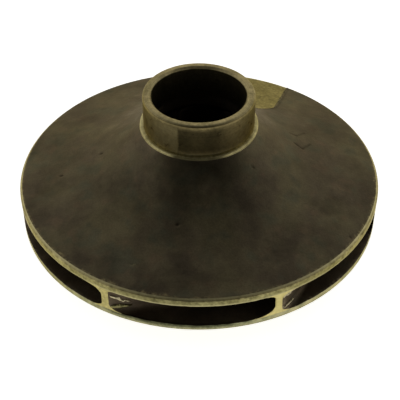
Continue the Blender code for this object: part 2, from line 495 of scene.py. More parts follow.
@dataclass(frozen=True)
class TurnedBronze:
    """Bronze turned on a lathe, with tool marks, stains and tarnished patches, darkened by dirt and painted
    shade and brightened by wear and painted highlights where its masks say so.

    A size is that of the clouds, stains or grains in millimetres.
    """

    name: str
    bright: Colour
    dull: Colour
    stain_and_shade: Colour
    roughness: tuple[float, float] = (0.28, 0.45)
    worn_and_sheen: Colour = (0.44, 0.40, 0.22)
    edge_tint: Colour = (0.85, 0.76, 0.50)
    stained: float = 0.5
    mottle: float = 0.15
    tone_size: float = 14.0
    stain_size: float = 4.5
    mottle_size: float = 1.5
    grain_size: float = 1.4
    grain_depth: float = 0.03
    tool_pitch: float = 0.35
    tool_depth: float = 0.012
    grime_and_shade_share: float = 0.15

    def make(self) -> bpy.types.Material:
        """Build the finish.

        Returns:
            The material.
        """
        graph = Graph(self.name, self.edge_tint)
        patches = graph.clouds(self.stain_size, 4.0, 0.65)
        marks = graph.rings(self.tool_pitch)
        broad = graph.span(graph.clouds(self.tone_size, 4.0, 0.6), 0.38, 0.62)
        tone = graph.blend(broad, self.dull, self.bright)
        tone = graph.blend(graph.span(patches, 0.50, 0.68, 0.0, self.stained), tone, self.stain_and_shade)
        tone = graph.scale(tone, graph.span(marks, 0.35, 0.65, 0.88, 1.10))
        mottle = graph.span(graph.clouds(self.mottle_size), 0.35, 0.65, 1.0 - self.mottle, 1.0 + self.mottle)
        tone = graph.scale(tone, mottle)
        # Darker where the grime_and_shade mask holds dirt and painted shade.
        tone = graph.blend(graph.mask("grime_and_shade"), tone, tuple(self.grime_and_shade_share * value for value in self.stain_and_shade))
        # Brighter where the wear_and_sheen mask holds wear and painted highlights.
        tone = graph.blend(graph.mask("wear_and_sheen"), tone, self.worn_and_sheen)
        relief = graph.bump(marks, self.tool_depth)
        relief = graph.bump(graph.clouds(self.grain_size, 3.0, 0.6), self.grain_depth, relief)
        return graph.finish(tone, graph.span(patches, 0.3, 0.7, *self.roughness), 1.0, relief)


@dataclass(frozen=True)
class Finishes:
    """The finish of each zone."""

    materials: dict[Zone, bpy.types.Material]

    @classmethod
    def make(cls) -> "Finishes":
        """Make the finishes of an old bronze casting with turned faces.

        Returns:
            The finishes.
        """
        looks = {
            Zone.CAST: CastSkin("cast_bronze_patina", (0.068, 0.055, 0.036), (0.094, 0.080, 0.045),
                                (0.118, 0.099, 0.059), (0.24, 0.20, 0.10)),
            Zone.RIM: TurnedBronze("turned_rim", (0.27, 0.245, 0.11), (0.185, 0.165, 0.068),
                                   (0.10, 0.09, 0.038), stained=0.8, mottle=0.28),
            Zone.CHAMFER: TurnedBronze("turned_edge", (0.32, 0.275, 0.125), (0.21, 0.18, 0.08),
                                       (0.12, 0.10, 0.048), (0.4, 0.6), stained=0.7, mottle=0.3),
            Zone.LIP: TurnedBronze("turned_shoulder", (0.45, 0.40, 0.20), (0.33, 0.29, 0.14),
                                   (0.17, 0.145, 0.065), (0.42, 0.55)),
            Zone.WALL: TurnedBronze("tarnished_wall", (0.195, 0.155, 0.068), (0.13, 0.105, 0.046),
                                    (0.06, 0.05, 0.024), (0.25, 0.42)),
            Zone.TOP: TurnedBronze("neck_face", (0.37, 0.31, 0.16), (0.28, 0.24, 0.125), (0.15, 0.13, 0.06),
                                   (0.40, 0.55), stained=0.5, mottle=0.16),
            # Dark finish for the eye's bore: tarnish, and painted shade in the recess.
            Zone.BORE: TurnedBronze("eye_bore", (0.10, 0.085, 0.045), (0.07, 0.06, 0.03), (0.04, 0.033, 0.02),
                                    (0.4, 0.55)),
            Zone.BACK_RIM: TurnedBronze("stained_rim", (0.26, 0.26, 0.14), (0.20, 0.20, 0.105),
                                        (0.11, 0.12, 0.06), stained=0.8, mottle=0.3),
            Zone.TIP: TurnedBronze("worn_tip", (0.42, 0.37, 0.15), (0.33, 0.29, 0.115), (0.20, 0.17, 0.07),
                                   worn_and_sheen=(0.60, 0.52, 0.22), mottle=0.25),
            # Bright finish that paints the highlights along the vane fillets onto the ridges.
            Zone.FLASH: TurnedBronze("flash_highlight", (0.60, 0.53, 0.34), (0.45, 0.40, 0.25),
                                     (0.22, 0.19, 0.11), (0.4, 0.55), mottle=0.3),
            Zone.WET: CastSkin("passage_bronze", (0.075, 0.056, 0.036), (0.102, 0.080, 0.052),
                               (0.136, 0.110, 0.074), (0.36, 0.31, 0.20), (0.5, 0.7),
                               (0.078, 0.072, 0.050), (0.126, 0.088, 0.054)),
            Zone.GROUND: TurnedBronze("ground_cut", (0.27, 0.228, 0.092), (0.21, 0.176, 0.070),
                                      (0.145, 0.12, 0.05), (0.5, 0.65), stained=0.6, mottle=0.25),
        }
        return cls({zone: look.make() for zone, look in looks.items()})


@dataclass(frozen=True)
class Corner:
    """A corner of a turned outline. The face that follows it has its zone."""

    radius: float
    height: float
    zone: Zone
    rounding: float = 0.0


@dataclass
class Outline:
    """Closed outline of a turned piece: radii, heights and the zone of each stretch."""

    points: list[tuple[float, float]] = field(default_factory=list)
    zones: list[Zone] = field(default_factory=list)

    @classmethod
    def through(cls, corners: list[Corner], steps: int = 4) -> "Outline":
        """Return the outline through corners, each rounded as it asks.

        Args:
            corners: The corners in order. The last joins the first.
            steps: Stretches in a rounded corner.

        Returns:
            The outline.
        """
        outline = cls()
        for index, corner in enumerate(corners):
            before, after = corners[index - 1], corners[(index + 1) % len(corners)]
            here = Vector((corner.radius, corner.height))
            towards = [Vector((other.radius, other.height)) - here for other in (before, after)]
            if corner.rounding == 0.0:
                outline.add(here, corner.zone)
                continue
            start, end = (here + side.normalized() * min(corner.rounding, 0.49 * side.length)
                          for side in towards)
            for step in range(steps + 1):
                share = step / steps
                point = start.lerp(here, share).lerp(here.lerp(end, share), share)
                outline.add(point, corner.zone if share >= 0.5 else before.zone)
        return outline

    def add(self, point: Vector, zone: Zone) -> None:
        """Add a point, and the zone of the stretch after it."""
        self.points.append((point.x, point.y))
        self.zones.append(zone)


@dataclass
class Skin:
    """Skin of a piece, gathered as grids of points in millimetres."""

    points: list[np.ndarray] = field(default_factory=list)
    faces: list[np.ndarray] = field(default_factory=list)
    zones: list[np.ndarray] = field(default_factory=list)
    masks: dict[str, list[np.ndarray]] = field(default_factory=lambda: {"wear_and_sheen": [], "grime_and_shade": []})
    count: int = 0

    def grid(self, points: np.ndarray, zones: np.ndarray | Zone, closed: bool = False,
             wear_and_sheen: np.ndarray | None = None, grime_and_shade: np.ndarray | None = None) -> None:
        """Add a grid of quads.

        Args:
            points: Rows of points in millimetres.
            zones: Zone of each face, one row less than the points, or one zone for all.
            closed: True if each row closes into a ring.
            wear_and_sheen: Bare metal and painted highlight at each point, from 0 to 1.
            grime_and_shade: Dirt and painted shade at each point, from 0 to 1.
        """
        rows, columns = points.shape[:2]
        index = np.arange(rows * columns).reshape(rows, columns) + self.count
        if closed:
            index = np.hstack([index, index[:, :1]])
        faces = np.stack([index[:-1, :-1], index[:-1, 1:], index[1:, 1:], index[1:, :-1]], axis=-1)
        self.points.append(points.reshape(-1, 3))
        self.faces.append(faces.reshape(-1, 4))
        self.zones.append(np.broadcast_to(zones, faces.shape[:2]).reshape(-1))
        for name, values in (("wear_and_sheen", wear_and_sheen), ("grime_and_shade", grime_and_shade)):
            self.masks[name].append(np.zeros(rows * columns) if values is None else values.reshape(-1))
        self.count += rows * columns

    def build(self, name: str, finishes: Finishes) -> bpy.types.Object:
        """Make the mesh and its object.

        Args:
            name: The piece's name.
            finishes: Where the zones' materials come from.

        Returns:
            The object, linked to the scene.
        """
        mesh = bpy.data.meshes.new(name)
        mesh.from_pydata((np.vstack(self.points) * MM).tolist(), [], np.vstack(self.faces).tolist())
        zones = np.concatenate(self.zones)
        used = [zone for zone in Zone if np.any(zones == zone)]
        for zone in used:
            mesh.materials.append(finishes.materials[zone])
        numbers = np.array([used.index(zone) for zone in zones], dtype=np.int32)
        mesh.polygons.foreach_set("material_index", numbers)
        for mask, values in self.masks.items():
            layer = mesh.attributes.new(name=mask, type="FLOAT", domain="POINT")
            layer.data.foreach_set("value", np.concatenate(values).astype(np.float32))
        shell = bmesh.new()
        shell.from_mesh(mesh)
        bmesh.ops.remove_doubles(shell, verts=shell.verts, dist=metres(WELD))
        bmesh.ops.recalc_face_normals(shell, faces=shell.faces)
        shell.to_mesh(mesh)
        shell.free()
        mesh.shade_smooth()
        mesh.set_sharp_from_angle(angle=CREASE)
        item = bpy.data.objects.new(name, mesh)
        bpy.context.scene.collection.objects.link(item)
        return item


def lathe(outline: Outline, azimuths: np.ndarray) -> tuple[np.ndarray, np.ndarray]:
    """Spin an outline about the shaft axis.

    Args:
        outline: The outline.
        azimuths: Azimuths of the grid's columns in radians.

    Returns:
        The grid of points, and the zone of each row of faces as a column.
    """
    radii, heights = np.array(outline.points + outline.points[:1]).T
    points = np.stack([np.outer(radii, np.cos(azimuths)), np.outer(radii, np.sin(azimuths)),
                       np.repeat(heights[:, None], len(azimuths), axis=1)], axis=-1)
    return points, np.array(outline.zones, dtype=object)[:, None]


def even_ring(count: int) -> np.ndarray:
    """Return azimuths spread evenly round the axis."""
    return np.arange(count) * 2.0 * math.pi / count


def hand_over(item: bpy.types.Object, node: str) -> None:
    """Let a piece stand for a node of the frame: hang it on the body's empty and hide the node.

    Args:
        item: The piece.
        node: The node that it replaces.
    """
    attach(item, BODY)
    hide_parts(node)
    log.info("%s: %d faces", item.name, len(item.data.polygons))


@dataclass(frozen=True)
class BalanceCut:
    """Strip ground into the front shroud up to its rim, with slanted corners, to balance the casting."""

    azimuth: float = math.radians(71.65)
    half_width: float = 25.6
    start: float = 38.0
    corner: float = 6.4
    corner_slant: float = 1.95
    depth: float = 0.5
    raggedness: float = 0.6
    burr: float = 0.25

    def within(self, points: np.ndarray) -> np.ndarray:
        """Return how far each point lies inside the cut's border in plan.

        Args:
            points: Points in millimetres.

        Returns:
            Distances in millimetres, below zero outside the cut.
        """
        along = points[..., 0] * math.cos(self.azimuth) + points[..., 1] * math.sin(self.azimuth)
        across = np.abs(points[..., 1] * math.cos(self.azimuth) - points[..., 0] * math.sin(self.azimuth))
        slanted = self.start + self.corner_slant * np.maximum(across - self.half_width + self.corner, 0.0)
        frayed = slanted + self.raggedness * (ripple(points, 1.7, 5.0) + ripple(points, 5.0, 9.0))
        sides = self.half_width + 0.3 * ripple(points, 3.0, 2.0)
        return np.minimum(along - frayed, sides - across)


@dataclass(frozen=True)
class Mark:
    """A pit or scratch in the cast skin, from one point in plan to another."""

    start: tuple[float, float]
    end: tuple[float, float]
    width: float
    depth: float
    grime_and_shade: float = 0.0
    wear_and_sheen: float = 0.0
    broken: float = 0.0

    def share(self, points: np.ndarray) -> np.ndarray:
        """Return how strongly each point is marked.

        Args:
            points: Points in millimetres.

        Returns:
            Values from 0 to 1.
        """
        start, end = np.array(self.start), np.array(self.end)
        line = end - start
        along = ((points[..., :2] - start) @ line) / max(line @ line, 1e-6)
        nearest = start + np.clip(along, 0.0, 1.0)[..., None] * line
        away = np.linalg.norm(points[..., :2] - nearest, axis=-1)
        if self.broken:
            away = away + self.broken * self.width * ripple(points, 0.45 * self.width, self.width)
        return 1.0 - smooth_step(0.2 * self.width, self.width, away)


@dataclass(frozen=True)
class FrontShroud:
    """The flared cone with its rim, the shoulder under the neck and the balance cut."""

    casting: Casting
    cut: BalanceCut = field(default_factory=BalanceCut)
    rings: int = 100
    wet_rings: int = 18
    coarse_step: float = math.radians(0.75)
    fine_step: float = math.radians(0.4)
    fine_margin: float = math.radians(4.0)
    swell: float = 0.14
    swell_grain: float = 13.0
    swell_fade: tuple[float, float] = (6.0, 3.0)
    slot_wear: float = 0.9
    edge_ripple: float = 0.12
    # lip_shade and lip_top_share paint shade on the shoulder's front, less on its flat top; lip_gleam paints
    # a highlight on the shoulder's left side.
    lip_shade: Sector = Sector(238.0, 10.0, 299.0, 14.0, 0.88)
    lip_gleam: Sector = Sector(135.0, 15.0, 205.0, 20.0, 0.6)
    lip_top_share: float = 0.05
    lip_rounding: float = 1.2
    # under_lip and under_lip_reach paint the shadow on the cone below the shoulder, darkest at the front.
    under_lip: Sector = Sector(212.0, 38.0, 336.0, 45.0, 0.68)
    # Darkens the rim's turned face over the front, from azimuth 243 to 281 degrees.
    rim_front_dimming: Sector = Sector(243.0, 8.0, 281.0, 10.0, 0.34)
    under_lip_reach: float = 15.0
    marks: tuple[Mark, ...] = (
        Mark((-67.8, -9.3), (-67.1, -9.3), 0.9, 0.35, 0.8),
        Mark((-48.1, -2.0), (-47.5, -2.1), 0.9, 0.35, 0.8),
        Mark((-11.3, -51.9), (-10.6, -52.0), 0.9, 0.35, 0.8),
        Mark((23.9, -25.2), (24.7, -25.2), 0.9, 0.3, 0.6),
        Mark((68.2, -51.6), (69.2, -51.6), 0.9, 0.3, 0.6),
        Mark((-32.3, -69.5), (-30.5, -69.6), 0.6, 0.2, 0.0, 0.6),
        Mark((45.7, 11.6), (49.3, 11.7), 0.6, 0.2, 0.5),
        Mark((49.3, 11.7), (54.1, 17.0), 0.6, 0.2, 0.5),
        Mark((47.4, 3.6), (51.2, 1.3), 0.8, 0.2, 0.6),
        Mark((51.2, 1.3), (56.1, 7.7), 0.8, 0.2, 0.6),
        Mark((-71.4, -15.4), (-69.0, -16.5), 9.0, 0.1, 0.20, broken=0.8),
        Mark((-39.6, -27.1), (-36.0, -27.0), 8.0, 0.1, 0.16, broken=0.8),
        Mark((60.2, -35.3), (62.5, -33.0), 9.0, 0.1, 0.20, broken=0.8),
        Mark((34.7, -60.8), (38.0, -60.0), 8.0, 0.1, 0.16, broken=0.8),
        Mark((-13.7, -77.7), (-10.0, -78.0), 7.0, 0.1, 0.14, broken=0.8),
    )

    def azimuths(self) -> np.ndarray:
        """Return the azimuths of the grid, closer together over the balance cut.

        Returns:
            Azimuths in radians.
        """
        reach = math.atan2(self.cut.half_width, self.cut.start) + self.fine_margin
        fine = np.arange(self.cut.azimuth - reach, self.cut.azimuth + reach, self.fine_step)
        left = 2.0 * math.pi - 2.0 * reach
        count = int(left / self.coarse_step)
        coarse = self.cut.azimuth + reach + np.arange(count) * left / count
        return np.concatenate([fine, coarse])

    def outline(self) -> Outline:
        """Return the outline, from the rim's lower edge upwards.

        Returns:
            The outline.
        """
        cast = self.casting
        inward = np.linspace(0.0, 1.0, self.rings)[1:-1] ** 0.9
        cone = cast.cone_radius + (cast.shoulder_radius - cast.cone_radius) * inward
        outward = np.linspace(0.0, 1.0, self.wet_rings)[:-1] ** 1.3
        wet = cast.eye_radius + (cast.rim_radius - cast.eye_radius) * outward
        corners = [
            Corner(cast.rim_radius, cast.outlet_top, Zone.RIM, 0.25),
            *(Corner(cast.rim_radius, cast.outlet_top + rise, Zone.RIM) for rise in (0.6, 1.1, 1.7, 2.3)),
            Corner(cast.rim_radius, cast.rim_top - cast.rim_chamfer, Zone.CHAMFER, 0.35),
            Corner(cast.cone_radius, cast.rim_top, Zone.CAST, 0.30),
        ]
        corners += [Corner(radius, cast.cone(radius), Zone.CAST) for radius in cone]
        corners += [
            Corner(cast.shoulder_radius, cast.cone(cast.shoulder_radius), Zone.LIP, 0.2),
            Corner(cast.shoulder_radius, cast.shoulder_height, Zone.LIP, self.lip_rounding),
            Corner(cast.eye_radius, cast.shoulder_height, Zone.WET),
        ]
        corners += [Corner(radius, cast.roof(radius), Zone.WET) for radius in wet]
        return Outline.through(corners)

    def dress_lip(self, points: np.ndarray, wear_and_sheen: np.ndarray, grime_and_shade: np.ndarray) -> None:
        """Paint shade on the shoulder's front and a shadow on the cone below it, and paint a highlight on the
        shoulder's left side.

        Args:
            points: The grid's points in millimetres.
            wear_and_sheen: Bare metal and painted highlight at each point, changed here.
            grime_and_shade: Dirt and painted shade at each point, changed here.
        """
        cast = self.casting
        radius = np.hypot(points[..., 0], points[..., 1])
        outside = points[..., 2] > cast.roof(radius) + 1.0
        lip = (radius < cast.shoulder_radius + 0.1) & outside
        below = 1.0 - smooth_step(cast.shoulder_radius, cast.shoulder_radius + self.under_lip_reach, radius)
        # Painted shadow on the cone under the shoulder.
        stain_and_shade = self.under_lip.at(points, 8.0) * below * outside * ~lip
        np.maximum(grime_and_shade, stain_and_shade, out=grime_and_shade)
        # Painted shade on the shoulder's front, lighter on its flat top.
        flat = smooth_step(cast.shoulder_height - 0.4, cast.shoulder_height - 0.05, points[..., 2])
        shade = lip * (1.0 - (1.0 - self.lip_top_share) * flat)
        np.maximum(grime_and_shade, self.lip_shade.at(points, 4.0) * shade, out=grime_and_shade)
        # Painted highlight on the shoulder's left side.
        np.maximum(wear_and_sheen, self.lip_gleam.at(points, 4.0) * lip, out=wear_and_sheen)

    def dress_rim(self, points: np.ndarray, wear_and_sheen: np.ndarray, grime_and_shade: np.ndarray) -> None:
        """Darken the rim's face across the front, rub its lower edge bright and leave that edge uneven.

        Args:
            points: The grid's points in millimetres, changed here.
            wear_and_sheen: Bare metal and painted highlight at each point, changed here.
            grime_and_shade: Dirt and painted shade at each point, changed here.
        """
        cast = self.casting
        radius = np.hypot(points[..., 0], points[..., 1])
        rise = points[..., 2] - cast.outlet_top
        low = (radius > cast.rim_radius - 0.3) * (1.0 - smooth_step(0.3, self.slot_wear, rise))
        np.maximum(wear_and_sheen, 0.75 * low, out=wear_and_sheen)
        face = (radius > cast.rim_radius - 0.5) * smooth_step(0.2, 1.6, rise)
        # Darker over the front sector of the rim's face.
        np.maximum(grime_and_shade, self.rim_front_dimming.at(points, 5.0) * face, out=grime_and_shade)
        points[..., 2] += self.edge_ripple * low * ripple(points, 2.2, 7.0)

    def carve(self, points: np.ndarray, rows: np.ndarray) -> tuple[np.ndarray, np.ndarray, np.ndarray]:
        """Sink the balance cut and the marks into the slightly swelling cone, rub its outer edge bare, and
        paint a shadow line just outside the cut's border.

        Args:
            points: The grid's points in millimetres, changed here.
            rows: Zone of each row of faces.

        Returns:
            How far each point is in the cut, its bare metal, and its dirt with the painted shadow line, all
            from 0 to 1.
        """
        cast = self.casting
        radius = np.hypot(points[..., 0], points[..., 1])
        on_cone = (points[..., 2] > cast.cone(radius) - 0.45) & (radius > cast.shoulder_radius + 0.01)
        cast_rows = np.array([zone == Zone.CAST for zone in rows[:, 0]] + [False])
        within = self.cut.within(points)
        inside = smooth_step(-0.15, 0.15, within) * on_cone
        inner, outer = self.swell_fade
        fade = smooth_step(cast.shoulder_radius, cast.shoulder_radius + inner, radius)
        fade = fade * (1.0 - smooth_step(cast.cone_radius - outer, cast.cone_radius, radius))
        drop = self.swell * fade * (1.0 - inside) * ripple(points, self.swell_grain, 3.0)
        burr = smooth_step(-0.9, -0.3, within) * (1.0 - smooth_step(-0.1, 0.3, within)) * on_cone
        drop -= self.cut.burr * burr
        wear_and_sheen = 0.8 * burr
        # Painted shadow line just outside the cut's border, next to the burr.
        grime_and_shade = 0.5 * smooth_step(-2.4, -1.2, within) * (1.0 - smooth_step(-1.0, -0.5, within)) * on_cone
        for mark in self.marks:
            share = mark.share(points) * on_cone
            drop += mark.depth * share
            grime_and_shade = np.maximum(grime_and_shade, mark.grime_and_shade * share)
            wear_and_sheen = np.maximum(wear_and_sheen, mark.wear_and_sheen * share)
        drop = np.where(cast_rows[:, None], drop, 0.0)
        sunk = np.minimum(points[..., 2], cast.cone(radius) - self.cut.depth)
        points[..., 2] += inside * (sunk - points[..., 2]) - drop * (1.0 - inside)
        worn_from = cast.cone_radius - 0.6 + 0.9 * ripple(points, 2.4, 6.0) + 0.7 * ripple(points, 9.0, 4.0)
        wear_and_sheen = np.maximum(wear_and_sheen, 0.8 * smooth_step(worn_from - 0.4, worn_from + 0.4, radius) * on_cone)
        return inside, wear_and_sheen, grime_and_shade

    def build(self, finishes: Finishes) -> bpy.types.Object:
        """Return the piece.

        Args:
            finishes: The finish of each zone.

        Returns:
            The finished object.
        """
        points, rows = lathe(self.outline(), self.azimuths())
        inside, wear_and_sheen, grime_and_shade = self.carve(points, rows)
        self.dress_lip(points, wear_and_sheen, grime_and_shade)
        self.dress_rim(points, wear_and_sheen, grime_and_shade)
        middle = (inside[:-1] + inside[1:]) / 2.0
        zones = np.where(middle > 0.5, Zone.GROUND, np.broadcast_to(rows, middle.shape))
        skin = Skin()
        skin.grid(points, zones, True, wear_and_sheen, grime_and_shade)
        return skin.build("front_shroud_casting", finishes)


@dataclass(frozen=True)
class SuctionNeck:
    """The turned ring round the suction eye."""

    casting: Casting
    top_rounding: float = 2.4
    # Painted shade that dims the highlight on the top's outer rounding.
    top_shade: float = 0.2
    eye_chamfer: float = 1.0
    undercut: float = 0.04
    # foot_sheen paints a lighter band up the wall from its foot, over foot_reach; reflection_fade is the
    # height over which the painted dark reflection fades in above the foot.
    foot_sheen: float = 0.2
    foot_reach: float = 1.8
    reflection_fade: float = 3.5
    sunk: float = 0.1
    rings: int = 14
    segments: int = 360
    # Painted dark reflection on the front of the neck wall, and a faint painted highlight on its left side.
    dark_reflection: Sector = Sector(246.8, 1.6, 317.0, 36.0, 0.70)
    gleam: Sector = Sector(180.0, 20.0, 247.2, 0.8, 0.08)

    def build(self, finishes: Finishes) -> bpy.types.Object:
        """Return the piece.

        Args:
            finishes: The finish of each zone.

        Returns:
            The finished object.
        """
        cast = self.casting
        foot = cast.shoulder_height
        groove = cast.neck_radius - self.undercut
        corners = [
            Corner(cast.eye_radius, foot - self.sunk, Zone.WALL),
            Corner(groove, foot - self.sunk, Zone.WALL),
            Corner(groove, foot + self.undercut, Zone.WALL),
            Corner(cast.neck_radius, foot + 2.0 * self.undercut, Zone.WALL, 0.2),
            Corner(cast.neck_radius, cast.neck_top, Zone.TOP, self.top_rounding),
            Corner(cast.eye_radius + self.eye_chamfer, cast.neck_top, Zone.TOP, 0.3),
            Corner(cast.eye_radius, cast.neck_top - self.eye_chamfer, Zone.BORE, 0.5),
        ]
        rounding = cast.neck_top - self.top_rounding
        steps = np.linspace(foot + 2.0 * self.undercut, rounding, self.rings)[1:-1]
        corners[4:4] = [Corner(cast.neck_radius, height, Zone.WALL) for height in steps]
        points, rows = lathe(Outline.through(corners, 6), even_ring(self.segments))
        radius = np.hypot(points[..., 0], points[..., 1])
        height = points[..., 2]
        wall = (radius > cast.neck_radius - 0.4) * (height > foot)
        wall = wall * (1.0 - smooth_step(rounding, rounding + 0.6, height))
        # Painted dark reflection on the wall's front, weaker near the foot.
        above_foot = 0.35 + 0.65 * smooth_step(foot, foot + self.reflection_fade, height)
        dark_reflection = self.dark_reflection.at(points, 1.5) * wall * above_foot
        # Painted shade on the outer rounding of the top.
        rounded = smooth_step(rounding - 0.2, rounding + 0.4, height) * (radius > cast.neck_radius - 1.4)
        at_foot = 1.0 - smooth_step(foot, foot + self.foot_reach, height)
        # Painted highlight on the wall's left side and a painted lighter band at its foot.
        wear_and_sheen = np.maximum(self.gleam.at(points, 1.5), self.foot_sheen * at_foot) * wall
        skin = Skin()
        skin.grid(points, rows, True, wear_and_sheen, np.maximum(dark_reflection, self.top_shade * rounded))
        return skin.build("suction_neck_ring", finishes)


@dataclass(frozen=True)
class BackShroud:
    """The disc behind the vanes: flat behind, swept up to the hub in front."""

    casting: Casting
    edge: float = 0.4
    bore_radius: float = 18.5
    rings: int = 40
    rim_rings: int = 8
    segments: int = 480
    edge_ripple: float = 0.22
    dark_edge: Sector = Sector(236.0, 10.0, 285.0, 10.0, 0.78)
    bright_edge: Sector = Sector(284.0, 10.0, 335.0, 30.0, 0.8)
    wear_share: float = 0.35

    def build(self, finishes: Finishes) -> bpy.types.Object:
        """Return the piece.

        Args:
            finishes: The finish of each zone.

        Returns:
            The finished object.
        """
        cast = self.casting
        inner = cast.hub_radius + cast.hub_gap
        wet = cast.rim_radius + (inner - cast.rim_radius) * np.linspace(0.0, 1.0, self.rings)[1:]
        corners = [
            Corner(self.bore_radius, cast.back_plane, Zone.RIM),
            Corner(cast.rim_radius, cast.back_plane, Zone.BACK_RIM, self.edge),
        ]
        steps = np.linspace(cast.back_plane + self.edge, cast.outlet_bottom, self.rim_rings)[1:-1]
        corners += [Corner(cast.rim_radius, height, Zone.BACK_RIM) for height in steps]
        corners += [Corner(cast.rim_radius, cast.outlet_bottom, Zone.WET, 0.2)]
        corners += [Corner(radius, cast.floor(radius), Zone.WET) for radius in wet]
        corners += [Corner(self.bore_radius, cast.floor(wet[-1]), Zone.WET)]
        points, rows = lathe(Outline.through(corners), even_ring(self.segments))
        radius = np.hypot(points[..., 0], points[..., 1])
        top = (radius > cast.rim_radius - 1.5) * smooth_step(-1.2, -0.1, points[..., 2] - cast.outlet_bottom)
        points[..., 2] += self.edge_ripple * top * (ripple(points, 2.0, 4.0) + ripple(points, 7.0, 8.0))
        rise = points[..., 2] - cast.outlet_bottom
        edge = radius > cast.rim_radius - 0.6
        grime_and_shade = self.dark_edge.at(points, 5.0) * edge * smooth_step(-2.3, -0.4, rise)
        grime_and_shade = grime_and_shade * (1.0 + 0.35 * ripple(points, 6.0, 1.0))
        share = np.maximum(self.wear_share, self.bright_edge.at(points, 5.0))
        wear_and_sheen = share * edge * (0.7 + ripple(points, 5.0, 3.0)) * (points[..., 2] > cast.back_plane)
        skin = Skin()
        skin.grid(points, rows, True, np.clip(wear_and_sheen - grime_and_shade, 0.0, 1.0), grime_and_shade)
        return skin.build("back_shroud_disc", finishes)


@dataclass(frozen=True)
class Hub:
    """The hub: boss behind, keyed bore, and nose inside the eye."""

    casting: Casting
    bore_radius: float = 7.94
    bore_chamfer: float = 0.6
    boss_radius: float = 17.0
    boss_chamfer: float = 1.0
    boss_fillet: float = 2.0
    shoulder: float = 23.4
    nose_radius: float = 12.6
    nose_edge: float = 0.8
    keyway_width: float = 4.76
    keyway_reach: float = 10.07
    nose_steps: int = 14
    fillet_steps: int = 7
    segments: int = 192

    def outline(self) -> Outline:
        """Return the outline, from the bore's lower edge outwards.

        Returns:
            The outline.
        """
        cast = self.casting
        rise = cast.nose_top - self.nose_edge - self.shoulder
        shares = np.linspace(0.0, 1.0, self.nose_steps)
        fillet = np.radians(np.linspace(180.0, 90.0, self.fillet_steps))
        corners = [
            Corner(self.bore_radius, self.bore_chamfer, Zone.RIM),
            Corner(self.bore_radius + self.bore_chamfer, 0.0, Zone.RIM),
            Corner(self.boss_radius, 0.0, Zone.RIM, self.boss_chamfer),
        ]
        corners += [Corner(cast.hub_radius + self.boss_fillet * math.cos(angle),
                           cast.back_plane - self.boss_fillet * (1.0 - math.sin(angle)), Zone.RIM)
                    for angle in fillet]
        corners += [Corner(self.nose_radius + (cast.hub_radius - self.nose_radius) * (1.0 - share) ** 2,
                           self.shoulder + rise * share, Zone.WET) for share in shares[:-1]]
        corners += [
            Corner(self.nose_radius, cast.nose_top, Zone.WET, self.nose_edge),
            Corner(self.bore_radius + self.bore_chamfer, cast.nose_top, Zone.WET),
            Corner(self.bore_radius, cast.nose_top - self.bore_chamfer, Zone.WET),
        ]
        return Outline.through(corners)

    def cut_keyway(self, item: bpy.types.Object) -> None:
        """Cut the keyway through the hub, on its +Y side.

        Args:
            item: The hub, changed here.
        """
        block = bmesh.new()
        size = Vector((self.keyway_width, self.keyway_reach, 2.0 * self.casting.nose_top)) * MM
        bmesh.ops.create_cube(block, size=1.0)
        bmesh.ops.scale(block, vec=size, verts=block.verts)
        bmesh.ops.translate(block, vec=(0.0, size.y / 2.0, size.z / 4.0), verts=block.verts)
        mesh = bpy.data.meshes.new("keyway")
        block.to_mesh(mesh)
        block.free()
        cutter = bpy.data.objects.new("keyway", mesh)
        bpy.context.scene.collection.objects.link(cutter)
        modifier = item.modifiers.new("keyway", "BOOLEAN")
        modifier.operation = "DIFFERENCE"
        modifier.solver = "EXACT"
        modifier.object = cutter
        graph = bpy.context.evaluated_depsgraph_get()
        cut = bpy.data.meshes.new_from_object(item.evaluated_get(graph))
        item.modifiers.clear()
        item.data = cut
        bpy.data.objects.remove(cutter)

    def build(self, finishes: Finishes) -> bpy.types.Object:
        """Return the piece.

        Args:
            finishes: The finish of each zone.

        Returns:
            The finished object.
        """
        points, rows = lathe(self.outline(), even_ring(self.segments))
        skin = Skin()
        skin.grid(points, rows, True)
        item = skin.build("hub_boss", finishes)
        self.cut_keyway(item)
        item.data.set_sharp_from_angle(angle=CREASE)
        return item


@dataclass(frozen=True)
class Fillets:
    """Radii of the four fillets at a vane's tip: ahead is the side of the higher azimuth."""

    ahead_floor: float = 3.5
    ahead_roof: float = 3.5
    behind_floor: float = 3.5
    behind_roof: float = 3.5


@dataclass(frozen=True)
class Flash:
    """A ragged ridge of metal that the mould left on a vane's side ahead, next to its tip; its default finish
    is a painted highlight.

    Each station has its distance in from the rim, its height above the outlet's floor and its width.
    """

    stations: tuple[tuple[float, float, float], ...]
    zone: Zone = Zone.FLASH
    thickness: float = 1.1
    ragged: float = 0.22
    length: float = 20.0
    end_share: float = 0.06
    rings: int = 40
    sides: int = 9

    def grid(self, vane: "Vane") -> np.ndarray:
        """Return the ridge as rings of points along its length, which close at both ends.

        Args:
            vane: The vane that carries it.

        Returns:
            The grid of points in millimetres.
        """
        cast = vane.casting
        inward, heights, widths = np.array(self.stations).T
        along = np.linspace(0.0, 1.0, self.rings)
        knots = np.linspace(0.0, 1.0, len(inward))
        line = np.stack([along * self.length, along * 0.0, along * 0.0], axis=-1)
        closing = np.clip(np.minimum(along, 1.0 - along) / self.end_share, 0.0, 1.0)
        radius = cast.rim_radius - np.interp(along, knots, inward)
        height = cast.outlet_bottom + np.interp(along, knots, heights)
        height = height + self.ragged * ripple(line, 0.9, heights[0])
        width = np.interp(along, knots, widths) * (1.0 + 0.5 * ripple(line, 1.1, heights[0])) * closing
        around = even_ring(self.sides)
        out = (self.thickness / 2.0 * closing)[:, None] * np.cos(around)
        rise = (width / 2.0)[:, None] * np.sin(around)
        spoke = np.minimum(radius[:, None] + out * math.cos(vane.angle), cast.rim_radius - vane.flush)
        turn = vane.face(radius, height)[:, None] + out * math.sin(vane.angle) / radius[:, None]
        return np.stack([spoke * np.cos(turn), spoke * np.sin(turn), height[:, None] + rise], axis=-1)


